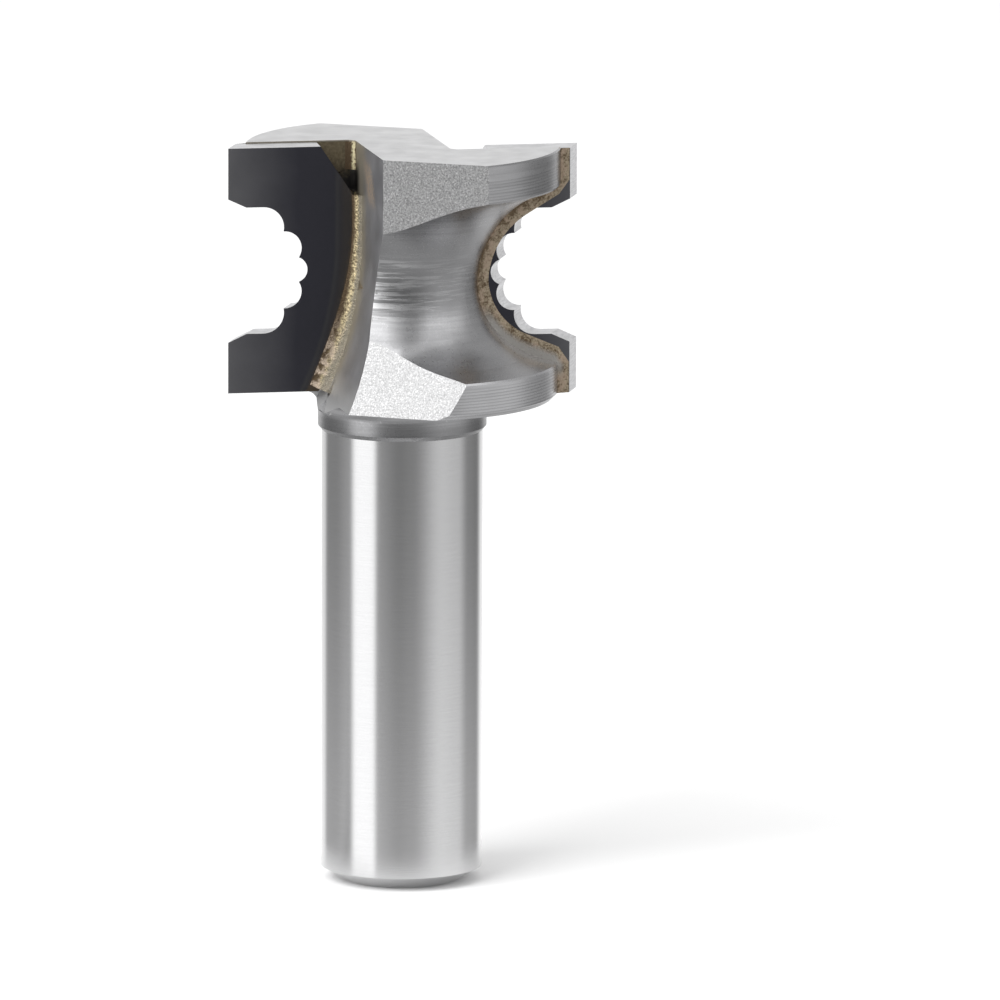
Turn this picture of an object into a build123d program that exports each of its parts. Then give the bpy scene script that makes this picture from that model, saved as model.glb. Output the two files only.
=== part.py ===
from build123d import *
import math
import os

# A router bit with a reeded bull-nose profile, standing on its shank end.
# Millimetres, +Z from the shank end up to the head, origin in the centre of the shank end.
# The left plate lies at -X with its rake face towards -Y, and the right one is the same
# plate turned half a turn about Z, so the bit cuts turning counter-clockwise seen from +Z.

# Shank and neck
shank_diameter = 12.7
shank_length = 36.1
end_chamfer_height = 1.1
end_chamfer_depth = 1.85
collar_step = 0.3
collar_length = 2.6
collar_lead_in = 0.35
neck_fillet = 1.2

# Carbide plates
cutting_diameter = 27.6
rake_offset = 0.52
tip_thickness = 2.3
tip_height = 19.5
tip_base_gap = 0.4
tip_top_gap = 0.1
relief_angle = 22.0
corner_cut_width = 2.6
corner_cut_height = 3.9

# Mouth of a plate: a centre bead, a shoulder bead and a side bead on each side of it, then
# a flat and a bevel out to the edge. Depths run from the edge towards the axis. Spacing is
# the distance between two beads' centres as a share of the sum of their radii, and a turn
# is measured from +Z.
centre_bead_depth = 5.27
centre_bead_radius = 1.03
shoulder_bead_radius = 1.35
side_bead_radius = 1.65
bead_spacing = 0.793
shoulder_bead_turn = 24.5
side_bead_turn = 45.6
bevel_depth = 1.45
bevel_height = 0.67

# Turned head: two flanges with a waist between them, each set back from the cutting profile
upper_flange_clearance = 1.35
lower_flange_clearance = 1.55
upper_rim_clearance = 1.12
lower_rim_clearance = 1.65
waist_clearance = 1.25
waist_drop = 0.75
upper_slope_angle = 18.1
lower_slope_angle = 18.5
lower_rim_bevel = 0.45
edge_break = 0.12

# Gullets, each with a flat seat for its plate and a wall that runs out above the shank
gullet_wall_offset = 3.4
gullet_wall_draft = 3.7
gullet_runout_radius = 30.0
gullet_runout_height = 12.8

# Flats milled on the front and back of the head
steep_flat_clearance = 1.575
steep_flat_angle = 27.5
facet_depth = 2.4
facet_angle = 29.5
facet_lean = 22.5
facet_height = 5.6

# Braze: a film behind each plate, a gap beside it, and beads in front, behind and on top
braze_film = 0.1
braze_gap = 0.45
front_bead_rise = 0.35
front_bead_crown = 0.15
front_bead_lap = 0.1
front_bead_middle_lap = 0.6
front_bead_foot_lap = 0.85
back_bead_depth = 0.2
back_bead_edge_margin = 0.05
back_bead_corner = 0.3

# Where the braze ends on the plate's back, as X and height from the tip's middle: the corner by
# the rim, then an arc's start and middle on each side of the waist
upper_braze_line = [(12.0, 6.1), (9.6, 4.65), (7.35, 2.5)]
lower_braze_line = [(12.0, -6.1), (9.3, -4.95), (7.3, -3.3)]
upper_braze_corner_height = 7.2
lower_braze_corner_height = -7.3
waist_braze_point = (6.38, -0.6)
pocket_bead_size = 0.75
pocket_bead_length = 2.2

# How far a cutter reaches past the steel, and how deep a braze blank is sunk in it
overcut = 1.0
bury = 0.15


def chained_bead(last, last_radius, radius, turn):
    """Centre of the bead beside the last one, given as depth and height in the mouth."""
    distance = bead_spacing * (last_radius + radius)
    angle = math.radians(turn)
    return (last[0] - distance * math.sin(angle), last[1] + distance * math.cos(angle))


centre_bead = (centre_bead_depth, 0.0)
shoulder_bead = chained_bead(centre_bead, centre_bead_radius, shoulder_bead_radius, shoulder_bead_turn)
side_bead = chained_bead(shoulder_bead, shoulder_bead_radius, side_bead_radius, side_bead_turn)
mouth_depth = centre_bead_depth + centre_bead_radius
throat_half_height = side_bead[1] + side_bead_radius
mouth_half_height = throat_half_height + bevel_height

head_base = shank_length + collar_length
tip_base = head_base + tip_base_gap
tip_top = tip_base + tip_height
tip_middle = tip_base + tip_height / 2
head_top = tip_top + tip_top_gap

shank_radius = shank_diameter / 2
collar_radius = shank_radius + collar_step
cutting_radius = cutting_diameter / 2
upper_flange_radius = cutting_radius - upper_flange_clearance
lower_flange_radius = cutting_radius - lower_flange_clearance
upper_rim_base = tip_middle + mouth_half_height + upper_rim_clearance
lower_rim_top = tip_middle - mouth_half_height - lower_rim_clearance
waist_radius = cutting_radius - mouth_depth - waist_clearance
waist_height = tip_middle - waist_drop


class GrooveSide:
    """One side of the groove between the flanges: a slope, and an arc that is tangent to it
    and stands upright at the waist."""

    def __init__(self, up, rim_radius, rim_height, slope_angle):
        self.up = up
        self.rim_radius = rim_radius
        self.rim_height = rim_height
        self.slope = math.radians(slope_angle)
        rise = up * (rim_height - waist_height) - (rim_radius - waist_radius) * math.tan(self.slope)
        self.arc_radius = rise * math.cos(self.slope) / (1 - math.sin(self.slope))

    def on_slope(self, radius, margin=0.0):
        """Radius and height on the slope, moved off the steel by a margin."""
        drop = (self.rim_radius - radius) * math.tan(self.slope) + margin / math.cos(self.slope)
        return (radius, self.rim_height - self.up * drop)

    def on_arc(self, angle, margin=0.0):
        """Radius and height on the arc where it stands at an angle from level."""
        reach = self.arc_radius - margin
        return (
            waist_radius + self.arc_radius - reach * math.sin(angle),
            waist_height + self.up * reach * math.cos(angle),
        )

    def arc_points(self, margin=0.0):
        """The arc's end at the slope, its middle and its end at the waist."""
        middle = (self.slope + math.pi / 2) / 2
        return [self.on_arc(angle, margin) for angle in (self.slope, middle, math.pi / 2)]


upper_side = GrooveSide(1, upper_flange_radius, upper_rim_base, upper_slope_angle)
lower_side = GrooveSide(-1, lower_flange_radius, lower_rim_top, lower_slope_angle)

# The rake face, the plate's back and the seat lie one behind the other along +Y.
plate_back = rake_offset + tip_thickness
seat_face = plate_back + braze_film
cutting_edge = math.sqrt(cutting_radius**2 - rake_offset**2)
back_edge = cutting_edge - tip_thickness * math.tan(math.radians(relief_angle))
tip_inner = -gullet_wall_offset - braze_gap
corner_cut_base = tip_top - corner_cut_height
runout_centre = (-gullet_wall_offset - gullet_runout_radius, head_base + gullet_runout_height)


def upright_plane(y, z=0.0):
    """A plane parallel to XZ at the given Y, seen from -Y: its own x is X and its own y is Z."""
    return Plane(origin=(0, y, z), x_dir=(1, 0, 0), z_dir=(0, -1, 0))


def runout_point(inset, angle):
    """X and Z of a point on the run-out arc, moved off the wall, at an angle below level."""
    radius = gullet_runout_radius - inset
    turn = math.radians(angle)
    return (runout_centre[0] + radius * math.cos(turn), runout_centre[1] - radius * math.sin(turn))


def runout_angle(inset, z):
    """The angle below level at which the run-out arc with that inset reaches a height."""
    return math.degrees(math.asin((runout_centre[1] - z) / (gullet_runout_radius - inset)))


# The steel blank is turned from one bar.
with BuildPart() as blank:
    with BuildSketch(Plane.XZ) as turned_profile:
        with BuildLine():
            Polyline(
                (0, 0),
                (shank_radius - end_chamfer_depth, 0),
                (shank_radius, end_chamfer_height),
                (shank_radius, shank_length),
                (collar_radius, shank_length + collar_lead_in),
                (collar_radius, head_base),
                (lower_flange_radius, head_base),
                (lower_flange_radius, lower_rim_top),
                lower_side.on_arc(lower_side.slope),
            )
            ThreePointArc(*lower_side.arc_points())
            ThreePointArc(*reversed(upper_side.arc_points()))
            Polyline(
                upper_side.on_arc(upper_side.slope),
                (upper_flange_radius, upper_rim_base),
                (upper_flange_radius, head_top),
                (0, head_top),
                (0, 0),
            )
        make_face()
        fillet(turned_profile.vertices().sort_by_distance((collar_radius, head_base))[0], neck_fillet)
        chamfer(turned_profile.vertices().sort_by_distance((lower_flange_radius, head_base))[0], lower_rim_bevel)
        rim_corners = [
            turned_profile.vertices().sort_by_distance(point)[0]
            for point in (
                (lower_flange_radius, lower_rim_top),
                (upper_flange_radius, upper_rim_base),
                (upper_flange_radius, head_top),
            )
        ]
        chamfer(rim_corners, edge_break)
    revolve(axis=Axis.Z)

# One gullet: the seat and the wall in one pass, with the corner between them left bevelled
# by as much as the braze beside the plate leaves room for.
gullet_reach = cutting_radius + overcut
with BuildPart() as gullet_cutter:
    with BuildSketch(upright_plane(seat_face)):
        with BuildLine():
            cutter_foot = runout_angle(0, head_base - overcut)
            wall_start = runout_point(0, 0)
            wall_foot = runout_point(0, cutter_foot)
            ThreePointArc(wall_start, runout_point(0, cutter_foot / 2), wall_foot)
            Polyline(
                wall_foot,
                (wall_foot[0] - gullet_reach, wall_foot[1]),
                (wall_foot[0] - gullet_reach, head_top + overcut),
                (wall_start[0], head_top + overcut),
                wall_start,
            )
        make_face()
    draft = math.radians(gullet_wall_draft)
    extrude(amount=gullet_reach + seat_face, dir=(math.sin(draft), -math.cos(draft), 0))
    seat_edges = gullet_cutter.faces().sort_by(Axis.Y)[-1].edges()
    chamfer(seat_edges.sort_by_distance((wall_start[0], seat_face, wall_start[1]))[:2], braze_gap)

# One steep flat, from the middle of the waist up through the upper flange.
flat_turn = math.radians(steep_flat_angle)
flat_normal = Vector(-math.sin(flat_turn), -math.cos(flat_turn), 0)
flat_plane = Plane(
    origin=flat_normal * (waist_radius + steep_flat_clearance) + Vector(0, 0, waist_height),
    x_dir=(math.cos(flat_turn), -math.sin(flat_turn), 0),
    z_dir=flat_normal,
)
with BuildPart() as flat_cutter:
    with BuildSketch(flat_plane):
        Rectangle(
            2 * gullet_reach,
            head_top + overcut - waist_height,
            align=(Align.CENTER, Align.MIN),
        )
    extrude(amount=gullet_reach)

# One sloping facet, which leans in as it rises over the lower flange.
facet_turn = math.radians(facet_angle)
lean = math.radians(facet_lean)
facet_outward = Vector(-math.sin(facet_turn), -math.cos(facet_turn), 0)
facet_foot = facet_outward * (lower_flange_radius - facet_depth)
facet_plane = Plane(
    origin=facet_foot + Vector(0, 0, head_base),
    x_dir=(math.cos(facet_turn), -math.sin(facet_turn), 0),
    z_dir=(
        -math.sin(facet_turn) * math.cos(lean),
        -math.cos(facet_turn) * math.cos(lean),
        math.sin(lean),
    ),
)
facet_run = facet_height / math.cos(lean)
with BuildPart() as facet_cutter:
    with BuildSketch(facet_plane):
        with Locations((0, facet_run)):
            Rectangle(2 * gullet_reach, facet_run + overcut, align=(Align.CENTER, Align.MAX))
    extrude(amount=gullet_reach)

with BuildPart() as body_and_shank:
    add(blank.part)
    with PolarLocations(0, 2):
        add(gullet_cutter.part, mode=Mode.SUBTRACT)
    with PolarLocations(0, 2):
        add(flat_cutter.part, mode=Mode.SUBTRACT)
    with PolarLocations(0, 2):
        add(facet_cutter.part, mode=Mode.SUBTRACT)


def beads_meet(first, first_radius, second, second_radius):
    """The cusp where two neighbouring beads cross, on the side nearer to the axis."""
    across = (second[0] - first[0], second[1] - first[1])
    span = math.hypot(*across)
    along = (first_radius**2 - second_radius**2 + span**2) / (2 * span)
    off = math.sqrt(first_radius**2 - along**2)
    ux, uy = across[0] / span, across[1] / span
    return (first[0] + along * ux - off * uy, first[1] + along * uy + off * ux)


def arc_crest(centre, radius, first, last):
    """The point halfway along a bead's arc between two of its points."""
    start = math.atan2(first[1] - centre[1], first[0] - centre[0])
    end = math.atan2(last[1] - centre[1], last[0] - centre[0])
    middle = (start + end) / 2
    return (centre[0] + radius * math.cos(middle), centre[1] + radius * math.sin(middle))


def in_rake_face(point):
    """A mouth point given as depth and height, placed in the left plate's rake face."""
    return (point[0] - cutting_edge, point[1])


mouth_centre = (mouth_depth, 0)
inner_cusp = beads_meet(shoulder_bead, shoulder_bead_radius, centre_bead, centre_bead_radius)
outer_cusp = beads_meet(side_bead, side_bead_radius, shoulder_bead, shoulder_bead_radius)
throat_edge = (side_bead[0], throat_half_height)
mouth_arcs = [
    (mouth_centre, arc_crest(centre_bead, centre_bead_radius, mouth_centre, inner_cusp), inner_cusp),
    (inner_cusp, arc_crest(shoulder_bead, shoulder_bead_radius, inner_cusp, outer_cusp), outer_cusp),
    (outer_cusp, arc_crest(side_bead, side_bead_radius, outer_cusp, throat_edge), throat_edge),
]

# The plate as ground: a flat blank, cut back by the profile along the relief direction.
with BuildPart() as ground_plate:
    with BuildSketch(upright_plane(plate_back)):
        with BuildLine():
            plate_foot = runout_angle(braze_gap, tip_base)
            blank_start = runout_point(braze_gap, 0)
            blank_foot = runout_point(braze_gap, plate_foot)
            ThreePointArc(blank_start, runout_point(braze_gap, plate_foot / 2), blank_foot)
            Polyline(
                blank_foot,
                (-gullet_reach, tip_base),
                (-gullet_reach, tip_top),
                (tip_inner - corner_cut_width, tip_top),
                (tip_inner, corner_cut_base),
                blank_start,
            )
        make_face()
    extrude(amount=tip_thickness)
    with BuildSketch(upright_plane(rake_offset, tip_middle)):
        with BuildLine():
            for arc_start, crest, arc_end in mouth_arcs:
                ThreePointArc(in_rake_face(arc_start), in_rake_face(crest), in_rake_face(arc_end))
            Polyline(
                in_rake_face(throat_edge),
                in_rake_face((bevel_depth, throat_half_height)),
                in_rake_face((0, mouth_half_height)),
                in_rake_face((0, tip_height / 2 + overcut)),
                (0, tip_height / 2 + overcut),
                (0, 0),
                in_rake_face(mouth_centre),
            )
        make_face()
        mirror(about=Plane.XZ)
    relief = math.radians(relief_angle)
    extrude(
        amount=tip_thickness / math.cos(relief),
        dir=(math.sin(relief), math.cos(relief), 0),
        mode=Mode.INTERSECT,
    )


def back_bead_outline(upper, lower):
    """Braze outline in X and Z between two lines of points that run from a rim to the waist:
    two points that cut the corner by the rim, then an arc's start, middle and end."""
    with BuildSketch(Plane.XY) as outline:
        with BuildLine():
            Polyline((0, tip_top), (upper[0][0], tip_top), *upper[:3])
            ThreePointArc(*upper[2:])
            ThreePointArc(*reversed(lower[2:]))
            Polyline(*reversed(lower[:3]), (lower[0][0], tip_base), (0, tip_base), (0, tip_top))
        make_face()
    return outline.sketch


def line_on_plate(corner_height, line):
    """The braze line on the plate's back, from the plate's edge to the waist."""
    points = [(back_edge - back_bead_edge_margin, corner_height), *line, waist_braze_point]
    return [(-x, tip_middle + height) for x, height in points]


def line_in_steel(side):
    """The turned head's own outline where the braze ends in it, sunk in the steel."""
    rim_end = side.on_slope(side.rim_radius - bury, -bury)
    points = [
        (rim_end[0], rim_end[1] + side.up * back_bead_corner),
        side.on_slope(rim_end[0] - back_bead_corner, -bury),
        *side.arc_points(-bury),
    ]
    return [(-math.sqrt(radius**2 - back_bead_end**2), height) for radius, height in points]


# Behind the plate the braze runs from a line on the plate's back to the turned steel.
back_bead_end = seat_face + back_bead_depth
outline_on_plate = back_bead_outline(
    line_on_plate(upper_braze_corner_height, upper_braze_line),
    line_on_plate(lower_braze_corner_height, lower_braze_line),
)
outline_in_steel = back_bead_outline(line_in_steel(upper_side), line_in_steel(lower_side))

# In front a bead follows the corner between wall and plate, and widens towards its foot.
# Its section lies across that corner: x away from the wall, y forward out of the seat.
rake_height = seat_face - rake_offset
bead_height = rake_height + front_bead_rise
wall_retreat = bead_height * math.tan(draft)


def bead_plane(origin, angle):
    """The plane across the gullet's corner at a point where the wall runs at that angle."""
    turn = math.radians(angle)
    return Plane(
        origin=(origin[0], seat_face, origin[1]),
        x_dir=(-math.cos(turn), 0, math.sin(turn)),
        z_dir=(math.sin(turn), 0, math.cos(turn)),
    )


def bead_section(lap):
    """Section of the front bead, lapping onto the rake face by that much."""
    wall_edge = (-bury - wall_retreat, bead_height)
    rake_edge = (braze_gap + lap, rake_height)
    middle = (
        (wall_edge[0] + rake_edge[0]) / 2 + front_bead_crown,
        (wall_edge[1] + rake_edge[1]) / 2 + front_bead_crown,
    )
    with BuildSketch(Plane.XY) as section:
        with BuildLine():
            Polyline(rake_edge, (braze_gap + bury, 0), (-bury, 0), wall_edge)
            ThreePointArc(wall_edge, middle, rake_edge)
        make_face()
    return section.sketch


bead_top = (-gullet_wall_offset, corner_cut_base)
bead_foot_angle = runout_angle(0, tip_base)
bead_foot = runout_point(0, bead_foot_angle)
bead_middle = runout_point(0, bead_foot_angle / 2)

# The braze is one blank that overlaps steel and plate, and both are then cut away from it.
with BuildPart() as braze_joint:
    with BuildSketch(upright_plane(plate_back)):
        add(outline_on_plate)
    with BuildSketch(upright_plane(back_bead_end)):
        add(outline_in_steel)
    loft(ruled=True)
    with BuildLine(upright_plane(seat_face)) as corner_path:
        ThreePointArc(bead_foot, bead_middle, wall_start)
        Line(wall_start, bead_top)
    with BuildSketch(bead_plane(bead_foot, bead_foot_angle)):
        add(bead_section(front_bead_foot_lap))
    with BuildSketch(bead_plane(bead_middle, bead_foot_angle / 2)):
        add(bead_section(front_bead_middle_lap))
    with BuildSketch(bead_plane(wall_start, 0), bead_plane(bead_top, 0)):
        add(bead_section(front_bead_lap))
    sweep(path=corner_path.line, multisection=True)
    with BuildSketch(Plane.XY.offset(tip_top)):
        with BuildLine():
            Polyline(
                (bury - gullet_wall_offset, seat_face + bury),
                (-gullet_wall_offset - pocket_bead_size, seat_face + bury),
                (-gullet_wall_offset - pocket_bead_size, seat_face - braze_film),
                (bury - gullet_wall_offset, seat_face - pocket_bead_size),
                (bury - gullet_wall_offset, seat_face + bury),
            )
        make_face()
    extrude(amount=-pocket_bead_length)
    add(body_and_shank.part, mode=Mode.SUBTRACT)
    add(ground_plate.part, mode=Mode.SUBTRACT)

# Both plates and both joints stand half a turn apart.
with BuildPart() as cutting_tip_left:
    add(ground_plate.part)
with BuildPart() as cutting_tip_right:
    with Locations(Rotation(0, 0, 180)):
        add(ground_plate.part)
with BuildPart() as braze_joint_left:
    add(braze_joint.part)
with BuildPart() as braze_joint_right:
    with Locations(Rotation(0, 0, 180)):
        add(braze_joint.part)

body_and_shank.part.label = "body_and_shank"
cutting_tip_left.part.label = "cutting_tip_left"
cutting_tip_right.part.label = "cutting_tip_right"
braze_joint_left.part.label = "braze_joint_left"
braze_joint_right.part.label = "braze_joint_right"

os.makedirs("parts", exist_ok=True)
export_step(body_and_shank.part, "parts/body_and_shank.step")
export_step(cutting_tip_left.part, "parts/cutting_tip_left.step")
export_step(cutting_tip_right.part, "parts/cutting_tip_right.step")
export_step(braze_joint_left.part, "parts/braze_joint_left.step")
export_step(braze_joint_right.part, "parts/braze_joint_right.step")
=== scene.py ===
import math

import bmesh
import bpy
import numpy as np
from bpy.props import FloatProperty, FloatVectorProperty, PointerProperty
from mathutils import Matrix, Vector


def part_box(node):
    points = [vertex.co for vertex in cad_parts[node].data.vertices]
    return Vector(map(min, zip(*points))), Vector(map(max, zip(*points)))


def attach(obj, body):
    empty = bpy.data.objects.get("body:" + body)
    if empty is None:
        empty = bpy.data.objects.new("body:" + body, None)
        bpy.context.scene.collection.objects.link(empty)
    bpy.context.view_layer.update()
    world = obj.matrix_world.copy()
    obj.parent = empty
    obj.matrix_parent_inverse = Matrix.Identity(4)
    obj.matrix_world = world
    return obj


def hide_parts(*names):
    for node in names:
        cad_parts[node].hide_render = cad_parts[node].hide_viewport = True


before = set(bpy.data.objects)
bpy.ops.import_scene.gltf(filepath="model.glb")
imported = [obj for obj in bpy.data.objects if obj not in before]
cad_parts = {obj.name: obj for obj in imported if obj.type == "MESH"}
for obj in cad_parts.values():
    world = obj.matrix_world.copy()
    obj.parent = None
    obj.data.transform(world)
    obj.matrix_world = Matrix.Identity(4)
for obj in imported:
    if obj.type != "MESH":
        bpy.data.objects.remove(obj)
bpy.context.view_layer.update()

bl_info = {
    "name": "Router Bit",
    "version": (1, 0, 0),
    "blender": (4, 5, 0),
    "location": "View3D > Sidebar > Router Bit",
    "description": "Finishes of a brazed carbide router bit, with the studio it stands in",
    "category": "Object",
}

MM = 0.001

# Corners of the left tip's box, in millimetres.
TIP_LOW, TIP_HIGH = (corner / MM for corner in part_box("cutting_tip_left"))

# Heights on the bit, in millimetres. A collar lies between the shank and the head, and the waist a
# little under the tips' middle. The tips' upper inner corners are cut off, which leaves the pockets
# open above POCKET_BASE.
SHANK_TOP = 36.1
HEAD_BASE = SHANK_TOP + 2.6
HEAD_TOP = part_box("body_and_shank")[1].z / MM
TIP_BASE = TIP_LOW.z
WAIST_HEIGHT = (TIP_LOW.z + TIP_HIGH.z) / 2.0 - 0.75
POCKET_BASE = TIP_HIGH.z - 3.9

# The gullet's corner is a straight line WALL beside the axis, and below RUNOUT_HEIGHT an arc. W is
# the distance off that corner, and V the depth behind the axis, the same for both tips. Behind a
# plate's back lies a bead, and behind that bead the steel.
WALL = 3.4
RUNOUT_RADIUS = 30.0
RUNOUT_HEIGHT = HEAD_BASE + 12.8
PLATE_BACK_V = TIP_HIGH.y
STEEL_V = 3.1

# Heights of the front bead's foot and top, and its widths there.
BEAD_FOOT = TIP_BASE + 1.9
BEAD_FOOT_WIDTH = 1.25
BEAD_TOP = RUNOUT_HEIGHT + 0.5
BEAD_TOP_WIDTH = 0.55

# Turning grooves lie on the two rims, between these distances up and down from the waist.
RIM_START = 7.0
RIM_END = 9.4
RIM_BLUR = 0.2
GROOVE_PITCH = 0.24

# Directions of the milled faces. A face has a direction when the cosine between them is over
# SAME_WAY. It lies on a gullet's wall when W is within WALL_MARGIN of 0, in millimetres, and its
# normal's Y is within WALL_TILT of 0.
FLAT_ANGLE = math.radians(27.5)
FACET_ANGLE = math.radians(29.5)
FACET_LEAN = math.radians(22.5)
SAME_WAY = 0.9995
WALL_MARGIN = 0.03
WALL_TILT = 0.02

# The inner edge of a tip lies within this distance of X 0, in millimetres.
TIP_INNER_EDGE = 6.45

# Vertices closer than this are merged, and edges sharper than these angles stay sharp.
MERGE_DISTANCE = 0.002 * MM
CREASE = math.radians(25.0)
BEAD_CREASE = math.radians(50.0)

# The key lamp and the floor, in metres and watts.
KEY_SIZE = 0.7
KEY_POWER = 7.4
KEY_PLACE = (-0.61, -0.43, 0.7)
KEY_AIM = (0.0, 0.0, 0.03)
FLOOR_HALF = 12.0

# The camera's aim in millimetres, as it is before the camera turns round the bit's axis, its sensor
# in millimetres and its reach in metres.
CAMERA_AIM = (7.723, 0.0, 30.334)
SENSOR_WIDTH = 36.0
CAMERA_REACH = 50.0

# What the metal reflects round the bit, level and higher up, as pairs of an azimuth in degrees and
# a brightness. The azimuth is 0 in front of the left tip and grows to the right.
LEVEL_ROOM = (
    (-179.0, 1.0), (-158.0, 0.9), (-142.0, 0.3), (-120.0, 0.3), (-90.0, 0.42),
    (-79.0, 1.5), (-52.0, 1.5), (-43.0, 0.38), (-12.0, 0.25), (4.0, 0.29),
    (50.0, 0.76), (78.0, 0.68), (101.0, 0.3), (126.0, 0.24), (146.0, 1.0),
)
UPPER_ROOM = (
    (-170.0, 0.35), (-130.0, 0.5), (-98.0, 1.3), (-75.0, 1.9), (-36.0, 1.9), (-12.0, 0.45),
    (10.0, 0.32), (34.0, 1.3), (64.0, 1.2), (95.0, 0.4), (170.0, 0.35),
)

# What the metal reflects from below, what lights the floor, and what the camera sees.
ROOM_BELOW = (0.42, 0.42, 0.42)
EVEN_LIGHT = (0.86, 0.86, 0.86)
BACKDROP = (1.0, 1.0, 1.0)


# Settings


def colour(name, description, default):
    """A colour setting with its default in linear red, green and blue."""
    return FloatVectorProperty(
        name=name, description=description, subtype="COLOR", size=3, default=default
    )


class SteelSettings(bpy.types.PropertyGroup):
    """Colours and roughness of the steel's finishes."""

    ground_colour: colour("Ground", "Colour of the ground shank", (0.66, 0.66, 0.665))
    turned_colour: colour("Turned", "Colour of the turned head", (0.51, 0.51, 0.52))
    blasted_colour: colour("Blasted", "Colour of the grit-blasted flats", (0.66, 0.66, 0.665))
    milled_colour: colour("Milled", "Colour of the gullets", (0.44, 0.44, 0.455))
    heat_colour: colour(
        "Heat tint", "Colour of the haze that brazing leaves on the steel", (0.36, 0.29, 0.22)
    )
    ground_roughness: FloatProperty(
        name="Ground roughness", description="Roughness of the ground shank", subtype="FACTOR",
        default=0.16, min=0.0, max=1.0,
    )


class TipSettings(bpy.types.PropertyGroup):
    """Colours of the carbide tips."""

    rake_colour: colour("Rake face", "Colour of the lapped rake face", (0.055, 0.055, 0.068))
    edge_colour: colour(
        "Towards the edge", "Colour of the rake face by the cutting edge", (0.17, 0.17, 0.18)
    )
    relief_colour: colour("Relief", "Colour of the ground relief surfaces", (0.78, 0.78, 0.795))


class BrazeSettings(bpy.types.PropertyGroup):
    """Colours of the braze."""

    metal_colour: colour("Filler", "Colour of the clean filler metal", (1.0, 0.84, 0.52))
    dull_colour: colour(
        "Dull filler", "Colour of the filler metal behind the tips", (0.44, 0.37, 0.27)
    )
    oxide_colour: colour(
        "Oxide", "Colour of the oxide in its hollows and along its borders", (0.14, 0.1, 0.062)
    )
    film_colour: colour(
        "Film", "Colour of the burnt film in the pocket above the tip", (0.16, 0.13, 0.08)
    )


class StudioSettings(bpy.types.PropertyGroup):
    """The camera and the floor."""

    distance: FloatProperty(
        name="Distance", description="From the camera to the point it looks at",
        subtype="DISTANCE", unit="LENGTH", default=1.425385,
    )
    elevation: FloatProperty(
        name="Elevation", description="Of the camera above the floor", subtype="ANGLE",
        unit="ROTATION", default=0.18065,
    )
    turn: FloatProperty(
        name="Turn", description="Of the camera round the bit, from straight in front of the left tip",
        subtype="ANGLE", unit="ROTATION", default=0.1646,
    )
    roll: FloatProperty(
        name="Roll", description="Of the camera about its own axis", subtype="ANGLE",
        unit="ROTATION", default=0.00314,
    )
    lens: FloatProperty(
        name="Lens", description="Focal length on a 36 mm sensor", subtype="DISTANCE_CAMERA",
        default=650.806,
    )
    floor_colour: colour("Floor", "Colour of the floor", (0.97, 0.97, 0.97))


# Node helpers


class Nodes:
    """The node tree of a material or a world, with short calls for its nodes."""

    def __init__(self, owner):
        """Starts with the owner's tree empty."""
        owner.use_nodes = True
        self.tree = owner.node_tree
        self.tree.nodes.clear()

    def node(self, kind, **settings):
        """A new node of this kind with these settings."""
        made = self.tree.nodes.new(kind)
        for key, value in settings.items():
            setattr(made, key, value)
        return made

    def feed(self, socket, value):
        """Links an output to the socket, or sets the socket to a plain value or colour."""
        if isinstance(value, bpy.types.NodeSocket):
            self.tree.links.new(value, socket)
        elif socket.type == "RGBA":
            socket.default_value = (*value, 1.0)
        else:
            socket.default_value = value

    def math(self, operation, first, second=0.0, third=0.0):
        """One operation on up to three values."""
        made = self.node("ShaderNodeMath", operation=operation)
        for socket, value in zip(made.inputs, (first, second, third)):
            self.feed(socket, value)
        return made.outputs[0]

    def plus(self, first, second, share):
        """The first value plus a share of the second."""
        return self.math("ADD", first, self.math("MULTIPLY", second, share))

    def span(self, value, low, high, out_low=0.0, out_high=1.0, smooth=False):
        """Maps a value from one span to another, and holds it inside the second."""
        kind = "SMOOTHSTEP" if smooth else "LINEAR"
        made = self.node("ShaderNodeMapRange", interpolation_type=kind, clamp=True)
        self.feed(made.inputs["Value"], value)
        made.inputs["From Min"].default_value = low
        made.inputs["From Max"].default_value = high
        made.inputs["To Min"].default_value = out_low
        made.inputs["To Max"].default_value = out_high
        return made.outputs["Result"]

    def window(self, value, rise_from, rise_to, fall_from, fall_to):
        """1 between two slopes and 0 outside them."""
        up = self.span(value, rise_from, rise_to, smooth=True)
        return self.math("MULTIPLY", up, self.span(value, fall_from, fall_to, 1.0, 0.0, smooth=True))

    def blend(self, factor, first, second):
        """Goes from the first colour to the second as the factor goes from 0 to 1."""
        made = self.node("ShaderNodeMix", data_type="RGBA")
        self.feed(made.inputs["Factor"], factor)
        self.feed(made.inputs["A"], first)
        self.feed(made.inputs["B"], second)
        return made.outputs["Result"]

    def split(self, vector):
        """X, Y and Z of a vector."""
        made = self.node("ShaderNodeSeparateXYZ")
        self.feed(made.inputs[0], vector)
        return made.outputs["X"], made.outputs["Y"], made.outputs["Z"]

    def joined(self, x, y, z):
        """A vector of three values."""
        made = self.node("ShaderNodeCombineXYZ")
        for socket, value in zip(made.inputs, (x, y, z)):
            self.feed(socket, value)
        return made.outputs[0]

    def azimuth(self, x, y):
        """Angle round the axis in radians: 0 in front of the left tip, growing to the right."""
        return self.math("ARCTAN2", x, self.math("MULTIPLY", y, -1.0))


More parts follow.
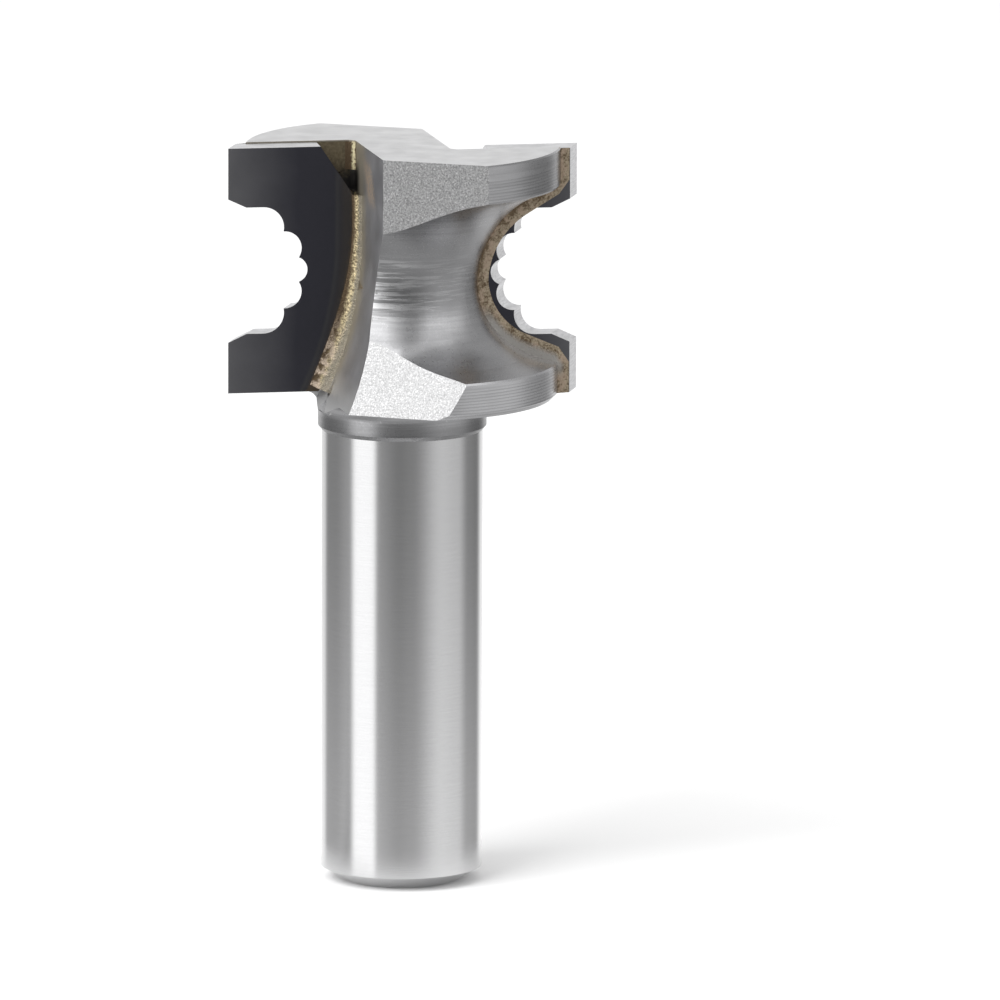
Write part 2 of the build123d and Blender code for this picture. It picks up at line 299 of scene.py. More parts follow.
class Finish(Nodes):
    """A material whose patterns read the place: the object's own coordinates in millimetres."""

    def __init__(self, name):
        """Starts with the shader, the output and the place."""
        self.material = bpy.data.materials.new(name)
        super().__init__(self.material)
        self.output = self.node("ShaderNodeOutputMaterial")
        self.shader = self.node("ShaderNodeBsdfPrincipled")
        self.feed(self.output.inputs["Surface"], self.shader.outputs["BSDF"])
        metres = self.node("ShaderNodeTexCoord").outputs["Object"]
        self.place = self.scaled([1.0 / MM] * 3, metres)

    def scaled(self, scale, place=None):
        """The place, stretched by three factors."""
        made = self.node("ShaderNodeVectorMath", operation="MULTIPLY")
        self.feed(made.inputs[0], place or self.place)
        made.inputs[1].default_value = scale
        return made.outputs[0]

    def noise(self, scale, detail=2.0, roughness=0.5, place=None):
        """Noise from 0 to 1, with about as many lumps per unit of the place as the scale says."""
        made = self.node("ShaderNodeTexNoise")
        self.feed(made.inputs["Vector"], place or self.place)
        made.inputs["Scale"].default_value = scale
        made.inputs["Detail"].default_value = detail
        made.inputs["Roughness"].default_value = roughness
        return made.outputs["Fac"]

    def parts(self):
        """X, Y and Z of the place."""
        return self.split(self.place)

    def radius(self):
        """Distance from the bit's axis: the root of X squared plus Y squared."""
        x, y, z = self.parts()
        squares = self.math("ADD", self.math("MULTIPLY", x, x), self.math("MULTIPLY", y, y))
        return self.math("SQRT", squares)

    def behind_axis(self):
        """V: Y for the left tip's half and -Y for the right tip's half, so both read alike."""
        x, y, z = self.parts()
        return self.math("MULTIPLY", y, self.math("SIGN", self.math("MULTIPLY", x, -1.0)))

    def off_corner(self):
        """W: the run-out's radius minus the distance from the run-out's centre. Above the centre only
        X counts, so there W is the size of X minus WALL."""
        x, y, z = self.parts()
        across = self.math("SUBTRACT", WALL + RUNOUT_RADIUS, self.math("ABSOLUTE", x))
        drop = self.math("MINIMUM", self.math("SUBTRACT", z, RUNOUT_HEIGHT), 0.0)
        squares = self.math("ADD", self.math("MULTIPLY", across, across), self.math("MULTIPLY", drop, drop))
        return self.math("SUBTRACT", RUNOUT_RADIUS, self.math("SQRT", squares))

    def bump(self, height, depth, strength=1.0, below=None):
        """Bump of a height in 0 to 1 over a real depth in metres."""
        made = self.node("ShaderNodeBump")
        made.inputs["Strength"].default_value = strength
        made.inputs["Distance"].default_value = depth
        self.feed(made.inputs["Height"], height)
        if below is not None:
            self.feed(made.inputs["Normal"], below)
        return made.outputs["Normal"]

    def surface(self, **sockets):
        """Feeds the shader's sockets, named with underscores for spaces, and gives the material."""
        for key, value in sockets.items():
            self.feed(self.shader.inputs[key.replace("_", " ")], value)
        return self.material


def toned(tone, factor):
    """A colour made darker or lighter by a factor."""
    return [factor * channel for channel in tone]


# Finishes of the steel


def ground_steel(settings):
    """Shank: fine grinding lines round it, so the pattern is stretched across and tight along Z."""
    f = Finish("ground_steel")
    lines = f.noise(1.0, 3.0, 0.6, f.scaled((0.5, 0.5, 15.0)))
    cloud = f.noise(0.3, 2.0)
    speck = f.noise(9.0, 1.0)
    tone = f.math("ADD", f.math("MULTIPLY", lines, 0.6), f.math("MULTIPLY", speck, 0.4))
    base = settings.ground_colour
    return f.surface(
        Base_Color=f.blend(f.span(tone, 0.35, 0.65), toned(base, 0.94), base),
        Metallic=1.0,
        Roughness=f.math("MULTIPLY_ADD", cloud, 0.05, settings.ground_roughness - 0.025),
        Normal=f.bump(lines, 0.000002, 0.6),
    )


def turning_marks(f, from_waist):
    """Rings, grooves and dashes of the turned head, from the distance up or down from the waist.
    Rings are noise along height plus 0.9 of the radius, so they follow the profile. Grooves are a
    sine of height, on the rims only. Dashes are noise stretched across and tight along Z, in the
    middle of the waist only."""
    x, y, z = f.parts()
    along = f.plus(z, f.radius(), 0.9)
    ring_place = f.joined(along, f.math("MULTIPLY", x, 0.035), f.math("MULTIPLY", y, 0.035))
    fine = f.noise(8.0, 2.0, 0.6, ring_place)
    coarse = f.noise(2.2, 2.0, 0.6, ring_place)
    rings = f.math("ADD", f.math("MULTIPLY", fine, 0.45), f.math("MULTIPLY", coarse, 0.55))
    on_rims = f.window(
        from_waist, RIM_START - RIM_BLUR, RIM_START + RIM_BLUR, RIM_END - RIM_BLUR, RIM_END + RIM_BLUR
    )
    wave = f.math("SINE", f.math("MULTIPLY", z, 2.0 * math.pi / GROOVE_PITCH))
    in_middle = f.span(from_waist, 1.2, 3.2, 1.0, 0.0, smooth=True)
    strokes = f.span(f.noise(1.0, 3.0, 0.7, f.scaled((0.22, 0.22, 4.2))), 0.49, 0.6)
    return rings, f.math("MULTIPLY", wave, on_rims), f.math("MULTIPLY", strokes, in_middle)


def turned_steel(settings):
    """Head: rings along the profile, deeper grooves on the rims, short bright chatter marks on the
    waist by the gullet. The waist's middle and the collar get painted shade, the lower slope and the
    right side painted light, and the steel by the braze has a brown haze."""
    f = Finish("turned_steel")
    x, y, z = f.parts()
    from_waist = f.math("ABSOLUTE", f.math("SUBTRACT", z, WAIST_HEIGHT))
    rings, grooves, dashes = turning_marks(f, from_waist)

    base = settings.turned_colour
    tone = f.blend(f.span(rings, 0.38, 0.62), toned(base, 0.8), base)
    # Painted shade: the waist's middle is darkened.
    middle = f.window(z, WAIST_HEIGHT - 2.7, WAIST_HEIGHT - 0.7, WAIST_HEIGHT + 3.3, WAIST_HEIGHT + 5.5)
    tone = f.blend(middle, tone, toned(base, 0.68))
    # Painted light: the lower slope and the right side are lightened.
    lit_low_slope = f.span(z, WAIST_HEIGHT - 6.6, WAIST_HEIGHT - 3.6, 0.35, 0.0)
    lighter = f.math("MAXIMUM", lit_low_slope, f.span(x, 3.0, 8.0, 0.0, 0.8))
    lighter = f.math("MULTIPLY", lighter, f.span(z, HEAD_BASE - 0.1, HEAD_BASE + 0.7))
    lighter = f.math("MULTIPLY", lighter, f.span(z, WAIST_HEIGHT + 6.9, WAIST_HEIGHT + 7.5, 1.0, 0.0))
    tone = f.blend(lighter, tone, toned(base, 1.5))
    by_gullet = f.span(x, -3.6, 0.5, 1.0, 0.2)
    tone = f.blend(f.math("MULTIPLY", dashes, by_gullet), tone, (0.95, 0.95, 0.96))
    tone = f.blend(f.span(grooves, 0.0, 1.0, 0.0, 0.4), tone, toned(base, 0.45))
    # Painted shade: the collar under the head is darkened.
    collar = f.span(z, SHANK_TOP + 0.3, HEAD_BASE - 0.5, 0.5, 0.0, smooth=True)
    tone = f.blend(collar, tone, toned(base, 0.3))

    grain = f.noise(6.0, 2.0, 0.6)
    to_braze = f.plus(f.math("SUBTRACT", f.math("ABSOLUTE", y), STEEL_V), grain, 0.7)
    haze = f.span(to_braze, 0.2, 0.95, 0.85, 0.0, smooth=True)
    haze = f.math("MULTIPLY", haze, f.span(z, WAIST_HEIGHT - 4.6, WAIST_HEIGHT - 1.6, 0.2, 1.0))
    haze = f.math("MULTIPLY", haze, f.span(z, HEAD_BASE + 0.3, HEAD_BASE + 0.9))
    height = f.plus(f.plus(rings, grooves, 0.22), dashes, 0.35)
    return f.surface(
        Base_Color=f.blend(haze, tone, settings.heat_colour),
        Metallic=1.0,
        Roughness=f.span(grain, 0.3, 0.7, 0.26, 0.36),
        Normal=f.bump(height, 0.00003, 0.6),
    )


def blasted_steel(settings):
    """Flats and facets: fine grit blasting, an even grain of small bright and dark pits. The upper
    flats get painted shade, with fainter sparks."""
    f = Finish("blasted_steel")
    x, y, z = f.parts()
    grain = f.noise(7.5, 2.0, 0.8)
    spark = f.span(f.noise(8.5, 1.0, 0.6), 0.57, 0.68, 0.0, 0.7)
    # Painted shade: the upper flats are darker than the facets below them.
    upper = f.span(z, WAIST_HEIGHT - 4.1, WAIST_HEIGHT + 1.9)
    base = settings.blasted_colour
    pits = f.blend(upper, toned(base, 0.62), toned(base, 0.4))
    peaks = f.blend(upper, base, toned(base, 0.8))
    tone = f.blend(f.span(grain, 0.36, 0.64), pits, peaks)
    spark = f.math("MULTIPLY", spark, f.span(upper, 0.0, 1.0, 1.0, 0.6))
    return f.surface(
        Base_Color=f.blend(spark, tone, (0.95, 0.95, 0.95)),
        Metallic=1.0,
        Roughness=0.38,
        Normal=f.bump(grain, 0.00003, 0.6),
    )


def milled_steel(settings):
    """Gullets: smooth blue-grey milling, lighter at the run-out's foot, with a painted reflection of the
    bead's gold. Beside the pocket a ragged brown stain slants down the wall, and deep in the
    pocket's foot the steel gets black painted shade."""
    f = Finish("milled_steel")
    x, y, z = f.parts()
    v = f.behind_axis()
    strokes = f.noise(1.0, 3.0, 0.6, f.scaled((3.0, 0.8, 1.6)))
    cloud = f.noise(0.45, 2.0)
    grain = f.noise(5.0, 3.0, 0.7)

    base = settings.milled_colour
    tone = f.blend(f.span(cloud, 0.3, 0.7), toned(base, 0.82), base)
    above_foot = f.span(z, TIP_BASE + 0.5, TIP_BASE + 2.1)
    tone = f.blend(above_foot, (0.62, 0.62, 0.62), tone)
    # Painted reflection: the bead's gold on the wall beside it.
    gold = f.span(f.plus(v, grain, 1.6), -1.2, 1.0, 0.0, 0.85, smooth=True)
    tone = f.blend(f.math("MULTIPLY", gold, above_foot), tone, (0.47, 0.43, 0.35))

    slant = f.plus(v, f.math("SUBTRACT", POCKET_BASE + 2.8, z), 0.55)
    stain = f.window(f.plus(slant, grain, 2.6), -2.3, -0.9, 0.3, 1.6)
    by_pocket = f.window(z, POCKET_BASE - 0.9, POCKET_BASE + 0.7, POCKET_BASE + 2.1, POCKET_BASE + 3.5)
    stain = f.math("MULTIPLY", stain, by_pocket)
    stain = f.math("MULTIPLY", stain, f.span(grain, 0.42, 0.56, 0.4, 1.0))
    tone = f.blend(stain, tone, (0.72, 0.58, 0.44))

    # Painted shade: black deep in the pocket's foot.
    deep = f.span(v, 0.9, 2.0, 0.0, 0.95)
    in_pocket = f.window(z, POCKET_BASE - 0.5, POCKET_BASE + 0.2, POCKET_BASE + 1.3, POCKET_BASE + 2.9)
    return f.surface(
        Base_Color=f.blend(f.math("MULTIPLY", deep, in_pocket), tone, (0.01, 0.01, 0.012)),
        Metallic=0.85,
        Roughness=f.span(cloud, 0.3, 0.7, 0.44, 0.52),
        Normal=f.bump(strokes, 0.000005, 0.5),
    )


def faced_steel(settings):
    """Top face: faced smooth and bright, with faint wipes."""
    f = Finish("faced_steel")
    cloud = f.noise(0.6, 3.0)
    wipes = f.noise(1.0, 3.0, 0.6, f.scaled((0.8, 5.0, 1.0)))
    base = settings.ground_colour
    return f.surface(
        Base_Color=f.blend(f.span(wipes, 0.35, 0.65), toned(base, 1.12), toned(base, 1.22)),
        Metallic=1.0,
        Roughness=f.span(cloud, 0.3, 0.7, 0.28, 0.36),
        Normal=f.bump(f.noise(6.0, 1.0), 0.000004, 0.4),
    )


# Finishes of the carbide


def rake_carbide(settings):
    """Lapped rake face: near black and bluish, lighter towards the cutting edge. Beside the bead it
    has a brown tint, the faint arc of the grinding wheel and, along the bead, a ragged brown border."""
    f = Finish("rake_carbide")
    x, y, z = f.parts()
    w = f.off_corner()
    cloud = f.noise(0.35, 2.0)
    outward = f.plus(f.math("ABSOLUTE", x), cloud, 1.5)
    tone = f.blend(f.span(outward, 9.0, 14.6), settings.rake_colour, settings.edge_colour)
    tone = f.blend(f.span(w, 1.1, 1.8, 0.6, 0.0), tone, (0.085, 0.075, 0.062))
    tone = f.blend(f.window(w, 1.4, 1.72, 1.72, 2.0), tone, (0.072, 0.072, 0.076))
    bead_edge = f.span(z, BEAD_FOOT, BEAD_TOP, BEAD_FOOT_WIDTH + 0.05, BEAD_TOP_WIDTH)
    beside = f.plus(f.math("SUBTRACT", w, bead_edge), f.noise(2.5, 3.0, 0.7), 0.5)
    border = f.span(beside, 0.15, 0.5, 0.9, 0.0, smooth=True)
    return f.surface(
        Base_Color=f.blend(border, tone, (0.11, 0.087, 0.063)),
        Metallic=0.9,
        Roughness=f.span(cloud, 0.3, 0.7, 0.36, 0.44),
        Normal=f.bump(f.noise(9.0, 1.0), 0.000004, 0.4),
    )


def relief_carbide(settings):
    """Ground relief surfaces: light, with fine grinding lines along the relief direction, and painted
    shade where they face down in the mouth."""
    f = Finish("relief_carbide")
    lines = f.noise(1.0, 2.0, 0.5, f.scaled((0.9, 0.9, 9.0)))
    base = settings.relief_colour
    light = f.blend(f.span(lines, 0.35, 0.65), toned(base, 0.78), base)
    # Painted shade: faces turned down take the dark rake colour.
    upward = f.split(f.node("ShaderNodeNewGeometry").outputs["Normal"])[2]
    down = f.span(upward, -0.25, -0.85, 0.0, 0.7, smooth=True)
    return f.surface(
        Base_Color=f.blend(down, light, settings.rake_colour),
        Metallic=1.0,
        Roughness=0.3,
        Normal=f.bump(lines, 0.000005, 0.5),
    )


# Finishes of the braze


def bead_metal(settings):
    """Front bead: a hollow fillet of bright gold grains, coppery at its foot, with brown oxide along
    the tip and a thin dull edge that fades into the steel of the wall. Across it runs from 0 at the
    wall to 1 at the tip, and its hollow is the square of twice the distance from its middle."""
    f = Finish("bead_metal")
    x, y, z = f.parts()
    grain = f.noise(5.5, 3.0, 0.75)
    lumps = f.noise(1.8, 2.0, 0.6)
    width = f.span(z, BEAD_FOOT, BEAD_TOP, BEAD_FOOT_WIDTH, BEAD_TOP_WIDTH)
    across = f.math("DIVIDE", f.off_corner(), width)
    ragged = f.plus(across, f.math("SUBTRACT", lumps, 0.5), 0.5)

    bare = f.span(ragged, 0.38, 0.84, 1.0, 0.0, smooth=True)
    clean = f.math("MULTIPLY", f.span(grain, 0.42, 0.55, 0.15, 1.0), bare)
    tone = f.blend(clean, settings.oxide_colour, settings.metal_colour)
    coppery = f.span(z, BEAD_FOOT, BEAD_FOOT + 5.0, 0.7, 0.0, smooth=True)
    coppery = f.math("MULTIPLY", coppery, f.span(lumps, 0.42, 0.58))
    tone = f.blend(coppery, tone, (0.95, 0.78, 0.62))
    off_wall = f.math("ADD", ragged, f.span(z, BEAD_FOOT - 2.0, BEAD_FOOT + 5.0, -0.3, 0.0))
    thin = f.span(off_wall, 0.0, 0.42, 0.9, 0.0, smooth=True)

    hollow = f.math("POWER", f.math("MULTIPLY_ADD", across, 2.0, -1.0), 2.0)
    return f.surface(
        Base_Color=f.blend(thin, tone, (0.34, 0.31, 0.25)),
        Metallic=0.92,
        Roughness=f.span(grain, 0.3, 0.7, 0.4, 0.22),
        Normal=f.bump(grain, 0.0001, 1.0, below=f.bump(hollow, 0.00016, 1.0)),
    )


def back_bead_metal(settings):
    """Bead behind the tip: duller, with a brown oxide border on its steel side and rosy grains in
    it. Its lower arc is wiped grey on the steel side."""
    f = Finish("back_bead_metal")
    x, y, z = f.parts()
    grain = f.noise(6.0, 3.0, 0.7)
    lumps = f.noise(1.6, 2.0, 0.6)
    height = f.math("ADD", f.math("MULTIPLY", grain, 0.6), f.math("MULTIPLY", lumps, 0.4))
    inward = f.span(f.behind_axis(), PLATE_BACK_V + 0.02, STEEL_V - 0.04)
    clean = f.span(f.plus(height, inward, -0.12), 0.36, 0.54)
    tone = f.blend(clean, settings.oxide_colour, settings.dull_colour)
    rosy = f.span(lumps, 0.5, 0.62, 0.0, 0.6)
    tone = f.blend(rosy, tone, (0.4, 0.3, 0.23))
    low_arc = f.window(z, TIP_BASE + 0.9, TIP_BASE + 2.5, TIP_BASE + 5.5, TIP_BASE + 7.3)
    wiped = f.math("MULTIPLY", low_arc, f.span(f.plus(inward, grain, 0.4), 0.5, 0.95))
    return f.surface(
        Base_Color=f.blend(wiped, tone, (0.36, 0.345, 0.325)),
        Metallic=0.85,
        Roughness=f.span(grain, 0.3, 0.7, 0.5, 0.34),
        Normal=f.bump(height, 0.00009, 0.8),
    )


def burnt_film(settings):
    """Film in the pocket above the tip: dark olive, with black painted shade towards the pocket's foot."""
    f = Finish("burnt_film")
    x, y, z = f.parts()
    grain = f.noise(4.0, 3.0, 0.7)
    base = settings.film_colour
    tone = f.blend(f.span(grain, 0.35, 0.65), toned(base, 0.6), base)
    upward = f.math("ADD", z, grain)
    # Painted shade: black towards the pocket's foot.
    foot = f.span(upward, POCKET_BASE + 1.0, POCKET_BASE + 3.2, 1.0, 0.0, smooth=True)
    return f.surface(
        Base_Color=f.blend(foot, tone, (0.012, 0.012, 0.014)),
        Metallic=0.6,
        Roughness=0.45,
        Normal=f.bump(grain, 0.00006, 0.7),
    )


def pocket_metal(settings):
    """Ragged gold line in the pocket's corner, bright at the top and with dark painted shade at its foot.
    """
    f = Finish("pocket_metal")
    x, y, z = f.parts()
    grain = f.noise(6.0, 2.0, 0.6)
    upward = f.math("ADD", z, grain)
    # Painted shade: dark at the pocket's foot, clean gold above it.
    clean = f.span(upward, POCKET_BASE + 1.3, POCKET_BASE + 2.7, smooth=True)
    tone = f.blend(clean, (0.03, 0.028, 0.025), (0.95, 0.86, 0.55))
    ragged = f.plus(f.off_corner(), f.math("SUBTRACT", grain, 0.5), 0.5)
    beside = f.math("SUBTRACT", 1.0, f.window(ragged, -0.02, 0.1, 0.14, 0.34))
    return f.surface(
        Base_Color=f.blend(beside, tone, settings.oxide_colour),
        Metallic=0.9,
        Roughness=0.32,
        Normal=f.bump(grain, 0.00006, 0.8),
    )


# Pieces


def dressed_copy(node, name, crease=CREASE):
    """A merged copy of a CAD node's mesh, shaded smooth except along edges sharper than the crease."""
    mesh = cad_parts[node].data.copy()
    mesh.name = name
    mesh.materials.clear()
    shape = bmesh.new()
    shape.from_mesh(mesh)
    bmesh.ops.remove_doubles(shape, verts=shape.verts, dist=MERGE_DISTANCE)
    shape.to_mesh(mesh)
    shape.free()
    for layer in list(mesh.attributes):
        if layer.name == "custom_normal":
            mesh.attributes.remove(layer)
    mesh.shade_smooth()
    mesh.set_sharp_from_angle(angle=crease)
    piece = bpy.data.objects.new(name, mesh)
    bpy.context.scene.collection.objects.link(piece)
    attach(piece, "root")
    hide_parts(node)
    return piece


def face_table(mesh):
    """Centres in millimetres and normals of all faces, as two arrays."""
    count = len(mesh.polygons)
    centres = np.empty(count * 3)
    normals = np.empty(count * 3)
    mesh.polygons.foreach_get("center", centres)
    mesh.polygons.foreach_get("normal", normals)
    return centres.reshape(-1, 3) / MM, normals.reshape(-1, 3)


def assign_finishes(mesh, finishes, choice):
    """Puts the finishes in the mesh's slots and gives each face the slot that choice names."""
    for finish in finishes:
        mesh.materials.append(finish)
    mesh.polygons.foreach_set("material_index", choice.astype(np.int32))
    mesh.update()


def cut_flat(normals, y):
    """True for faces of the flats and facets. The back half is turned to the front first, so one
    direction serves for both."""
    front = np.where(y < 0.0, 1.0, -1.0)
    turned = normals * np.stack([front, front, np.ones_like(front)], axis=1)
    flat = np.array([-math.sin(FLAT_ANGLE), -math.cos(FLAT_ANGLE), 0.0])
    facet = np.array([
        -math.sin(FACET_ANGLE) * math.cos(FACET_LEAN),
        -math.cos(FACET_ANGLE) * math.cos(FACET_LEAN),
        math.sin(FACET_LEAN),
    ])
    return (turned @ flat > SAME_WAY) | (turned @ facet > SAME_WAY)


def on_wall(normals, x, z):
    """True for faces of the head on the gullets' walls and run-outs: W is 0 and the normal has no Y."""
    across = WALL + RUNOUT_RADIUS - np.abs(x)
    off_corner = RUNOUT_RADIUS - np.hypot(across, np.minimum(z - RUNOUT_HEIGHT, 0.0))
    in_line = np.abs(normals[:, 1]) < WALL_TILT
    return (np.abs(off_corner) < WALL_MARGIN) & in_line & (z > HEAD_BASE - 0.7)


def round_axis(normals, x, y):
    """True for faces turned round the axis: the normal's radial and Z parts make up its whole length."""
    radial = (normals[:, 0] * x + normals[:, 1] * y) / np.maximum(np.hypot(x, y), 0.1)
    return np.hypot(radial, normals[:, 2]) > SAME_WAY


def steel_choice(centres, normals):
    """The finish of each face of the steel, from its place and direction. Later lines win."""
    ground, turned, blasted, milled, faced = range(5)
    x, y, z = centres.T
    facing_up = normals[:, 2] > 0.999
    choice = np.full(len(centres), milled)
    choice[round_axis(normals, x, y) & ~on_wall(normals, x, z)] = turned
    choice[cut_flat(normals, y) & (z > HEAD_BASE)] = blasted
    choice[facing_up & (z > HEAD_TOP - 0.7)] = faced
    choice[z < SHANK_TOP + 0.1] = ground
    return choice


def tip_choice(centres, normals):
    """The finish of each face of a tip: relief on its edges, and rake in front and behind and on the
    inner edge, unless that faces up."""
    rake, relief = range(2)
    on_edge = np.abs(normals[:, 1]) < 0.9
    outer = np.abs(centres[:, 0]) >= TIP_INNER_EDGE
    facing_up = normals[:, 2] > 0.3
    return np.where(on_edge & (outer | facing_up), relief, rake)


def braze_choice(centres, normals, half):
    """The finish of each face of a braze joint. Half is 1 for the left joint and -1 for the right.
    Later lines win."""
    front_bead, back_bead, film, pocket = range(4)
    x, y, z = centres.T
    behind = half * y
    facing_back = half * normals[:, 1]
    high = z > POCKET_BASE - 0.1
    by_corner = (behind > 1.9) & (np.abs(x) < WALL + 0.8)
    past_plate = behind > PLATE_BACK_V - 0.05
    choice = np.full(len(centres), front_bead)
    choice[by_corner & high] = pocket
    choice[past_plate & (facing_back > 0.05)] = back_bead
    choice[past_plate & (facing_back < -0.9) & high] = film
    return choice


class ROUTERBIT_OT_body(bpy.types.Operator):
    """Dresses the steel body: ground shank, turned head, blasted flats, milled gullets, faced top"""

    bl_idname = "routerbit.body"
    bl_label = "Steel body"

    def execute(self, context):
        """The finishes stand in the order that steel_choice numbers them."""
        steel = context.scene.routerbit_steel
        piece = dressed_copy("body_and_shank", "steel_body")
        makers = (ground_steel, turned_steel, blasted_steel, milled_steel, faced_steel)
        finishes = [make(steel) for make in makers]
        assign_finishes(piece.data, finishes, steel_choice(*face_table(piece.data)))
        return {"FINISHED"}


class ROUTERBIT_OT_tips(bpy.types.Operator):
    """Dresses both carbide tips: dark rake face and back, light ground relief surfaces"""

    bl_idname = "routerbit.tips"
    bl_label = "Carbide tips"

    def execute(self, context):
        """The finishes stand in the order that tip_choice numbers them."""
        tips = context.scene.routerbit_tips
        finishes = [make(tips) for make in (rake_carbide, relief_carbide)]
        for side in ("left", "right"):
            piece = dressed_copy("cutting_tip_" + side, "carbide_tip_" + side)
            assign_finishes(piece.data, finishes, tip_choice(*face_table(piece.data)))
        return {"FINISHED"}


class ROUTERBIT_OT_braze(bpy.types.Operator):
    """Dresses both braze joints: gold bead in front, dull bead behind, burnt film in the pocket"""

    bl_idname = "routerbit.braze"
    bl_label = "Braze joints"

    def execute(self, context):
        """The finishes stand in the order that braze_choice numbers them."""
        braze = context.scene.routerbit_braze
        finishes = [make(braze) for make in (bead_metal, back_bead_metal, burnt_film, pocket_metal)]
        for side, half in (("left", 1.0), ("right", -1.0)):
            piece = dressed_copy("braze_joint_" + side, "braze_" + side, BEAD_CREASE)
            assign_finishes(piece.data, finishes, braze_choice(*face_table(piece.data), half))
        return {"FINISHED"}


# Studio


def room_band(sky, turns, stops):
    """Brightness round the bit. Turns goes from 0 to 1 as the azimuth goes from -180 to 180 degrees."""
    made = sky.node("ShaderNodeValToRGB")
    sky.feed(made.inputs["Fac"], turns)
    bar = made.color_ramp
    bar.interpolation = "EASE"
    while len(bar.elements) < len(stops):
        bar.elements.new(0.5)
    for element, (degrees, level) in zip(bar.elements, stops):
        element.position = (degrees + 180.0) / 360.0
        element.color = (level, level, level, 1.0)
    return made.outputs["Color"]


def studio_world():
    """Light for the bit. The camera sees white, and the floor an even light. What the metal reflects
    is a room that changes with direction: a bright strip to the left of the camera, a broad fill to
    the right of it, a white backdrop behind the bit, and darker stretches between them. It goes over
    from the level room to the upper one as the direction rises, and to one grey as it drops."""
    world = bpy.data.worlds.new("studio")
    sky = Nodes(world)
    x, y, z = sky.split(sky.node("ShaderNodeTexCoord").outputs["Generated"])
    turns = sky.math("MULTIPLY_ADD", sky.azimuth(x, y), 1.0 / (2.0 * math.pi), 0.5)
    rise = sky.span(z, 0.2, 0.5, smooth=True)
    drop = sky.span(z, -0.3, -0.5, smooth=True)
    room = sky.blend(rise, room_band(sky, turns, LEVEL_ROOM), room_band(sky, turns, UPPER_ROOM))
    room = sky.blend(drop, room, ROOM_BELOW)
    path = sky.node("ShaderNodeLightPath").outputs
    seen = sky.blend(path["Is Glossy Ray"], EVEN_LIGHT, room)
    background = sky.node("ShaderNodeBackground")
    sky.feed(background.inputs["Color"], sky.blend(path["Is Camera Ray"], seen, BACKDROP))
    output = sky.node("ShaderNodeOutputWorld")
    sky.feed(output.inputs["Surface"], background.outputs[0])
    return world


def floor_finish(studio):
    """Plain matt floor. The metal sees it only near the bit, where it lifts the dark reflections at
    the shank's foot. Further out it sees the room through a glow, which fades with distance and is
    fainter under the bright strip."""
    f = Finish("floor")
    f.surface(Base_Color=studio.floor_colour, Roughness=0.9, Specular_IOR_Level=0.0)
    x, y, z = f.parts()
    strip_edges = [math.radians(degrees) for degrees in (-95.0, -80.0, -52.0, -40.0)]
    strip = f.window(f.azimuth(x, y), *strip_edges)
    near = f.span(f.radius(), 38.0, 170.0, 1.0, 0.0)
    glow = f.node("ShaderNodeEmission")
    f.feed(glow.inputs["Strength"], f.math("MULTIPLY", near, f.span(strip, 0.0, 1.0, 0.22, 0.05)))
    both = f.node("ShaderNodeAddShader")
    f.feed(both.inputs[0], glow.outputs[0])
    f.feed(both.inputs[1], f.node("ShaderNodeBsdfTransparent").outputs[0])
    pick = f.node("ShaderNodeMixShader")
    glossy = f.node("ShaderNodeLightPath").outputs["Is Glossy Ray"]
    f.feed(pick.inputs[0], f.math("MULTIPLY", glossy, f.span(f.radius(), 8.0, 20.0)))
    f.feed(pick.inputs[1], f.shader.outputs["BSDF"])
    f.feed(pick.inputs[2], both.outputs[0])
    f.feed(f.output.inputs["Surface"], pick.outputs[0])
    return f.material


def add_floor(scene, studio):
    """Square floor at Z 0, which reaches far past the picture."""
    mesh = bpy.data.meshes.new("floor")
    corners = ((-1.0, -1.0), (1.0, -1.0), (1.0, 1.0), (-1.0, 1.0))
    mesh.from_pydata([(FLOOR_HALF * x, FLOOR_HALF * y, 0.0) for x, y in corners], [], [(0, 1, 2, 3)])
    floor = bpy.data.objects.new("floor", mesh)
    mesh.materials.append(floor_finish(studio))
    scene.collection.objects.link(floor)


def add_key(scene):
    """Square lamp to the upper left, for the shadow on the floor. The metal doesn't reflect it."""
    lamp = bpy.data.lights.new("key", "AREA")
    lamp.shape = "RECTANGLE"
    lamp.size = KEY_SIZE
    lamp.size_y = KEY_SIZE
    lamp.energy = KEY_POWER
    key = bpy.data.objects.new("key", lamp)
    key.location = KEY_PLACE
    key.rotation_euler = (Vector(KEY_AIM) - key.location).to_track_quat("-Z", "Y").to_euler()
    key.visible_glossy = False
    scene.collection.objects.link(key)


def add_camera(scene, studio):
    """Camera at the studio's distance from its aim, lifted by the elevation, rolled about its own
    axis, and then turned round the bit's axis together with its aim."""
    forward = Vector((0.0, math.cos(studio.elevation), -math.sin(studio.elevation)))
    right = Vector((1.0, 0.0, 0.0))
    up = right.cross(forward)
    rolled_right = math.cos(studio.roll) * right + math.sin(studio.roll) * up
    rolled_up = -math.sin(studio.roll) * right + math.cos(studio.roll) * up
    aim = Vector([part * MM for part in CAMERA_AIM])
    facing = Matrix((rolled_right, rolled_up, -forward)).transposed().to_4x4()
    facing.translation = aim - studio.distance * forward
    camera_data = bpy.data.cameras.new("camera")
    camera_data.sensor_width = SENSOR_WIDTH
    camera_data.lens = studio.lens
    camera_data.clip_end = CAMERA_REACH
    camera = bpy.data.objects.new("camera", camera_data)
    camera.matrix_world = Matrix.Rotation(-studio.turn, 4, "Z") @ facing
    scene.collection.objects.link(camera)
    scene.camera = camera


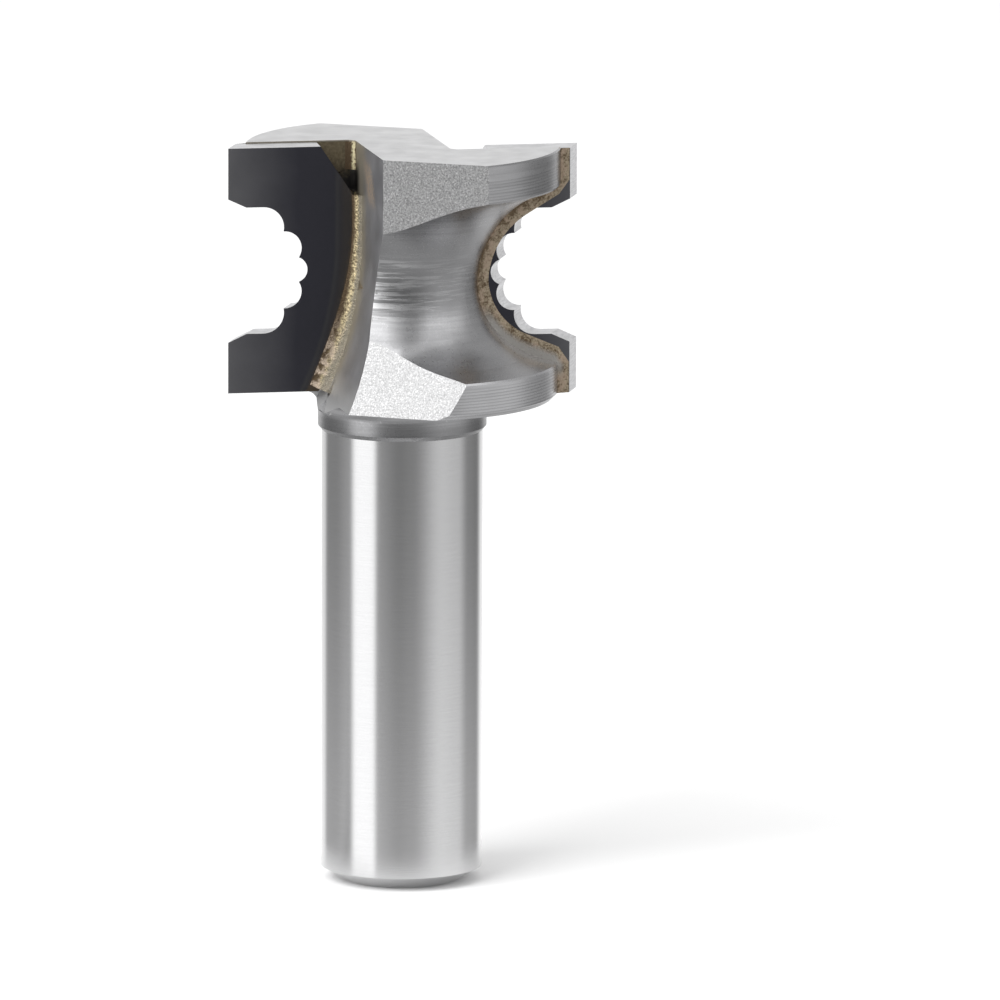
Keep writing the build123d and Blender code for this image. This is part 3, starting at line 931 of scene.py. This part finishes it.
class ROUTERBIT_OT_stage(bpy.types.Operator):
    """Sets up the floor, the light and the camera"""

    bl_idname = "routerbit.stage"
    bl_label = "Floor, light and camera"

    def execute(self, context):
        """Floor, room, lamp and camera, one after another."""
        scene = context.scene
        studio = scene.routerbit_studio
        add_floor(scene, studio)
        scene.world = studio_world()
        scene.view_settings.view_transform = "Standard"
        add_key(scene)
        add_camera(scene, studio)
        return {"FINISHED"}


# Panel and run


class ROUTERBIT_PT_panel(bpy.types.Panel):
    """Lists the pieces and their settings"""

    bl_idname = "ROUTERBIT_PT_panel"
    bl_label = "Router Bit"
    bl_space_type = "VIEW_3D"
    bl_region_type = "UI"
    bl_category = "Router Bit"

    def draw(self, context):
        """A box for each group of settings, with the button that applies them."""
        layout = self.layout
        scene = context.scene
        for title, operator, group in (
            ("Steel", ROUTERBIT_OT_body, scene.routerbit_steel),
            ("Tips", ROUTERBIT_OT_tips, scene.routerbit_tips),
            ("Braze", ROUTERBIT_OT_braze, scene.routerbit_braze),
            ("Studio", ROUTERBIT_OT_stage, scene.routerbit_studio),
        ):
            box = layout.box()
            box.label(text=title)
            for key in group.bl_rna.properties.keys():
                if key not in ("rna_type", "name"):
                    box.prop(group, key)
            box.operator(operator.bl_idname)


CLASSES = (
    SteelSettings,
    TipSettings,
    BrazeSettings,
    StudioSettings,
    ROUTERBIT_OT_body,
    ROUTERBIT_OT_tips,
    ROUTERBIT_OT_braze,
    ROUTERBIT_OT_stage,
    ROUTERBIT_PT_panel,
)
GROUPS = {
    "routerbit_steel": SteelSettings,
    "routerbit_tips": TipSettings,
    "routerbit_braze": BrazeSettings,
    "routerbit_studio": StudioSettings,
}


def register():
    """Adds the classes and the scene's settings."""
    for item in CLASSES:
        bpy.utils.register_class(item)
    for name, group in GROUPS.items():
        setattr(bpy.types.Scene, name, PointerProperty(type=group))


def unregister():
    """Takes away what register added."""
    for name in GROUPS:
        delattr(bpy.types.Scene, name)
    for item in reversed(CLASSES):
        bpy.utils.unregister_class(item)


def main():
    """Dresses the bit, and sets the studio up."""
    register()
    bpy.ops.routerbit.body()
    bpy.ops.routerbit.tips()
    bpy.ops.routerbit.braze()
    bpy.ops.routerbit.stage()
    bpy.context.view_layer.update()


if __name__ == "__main__":
    main()
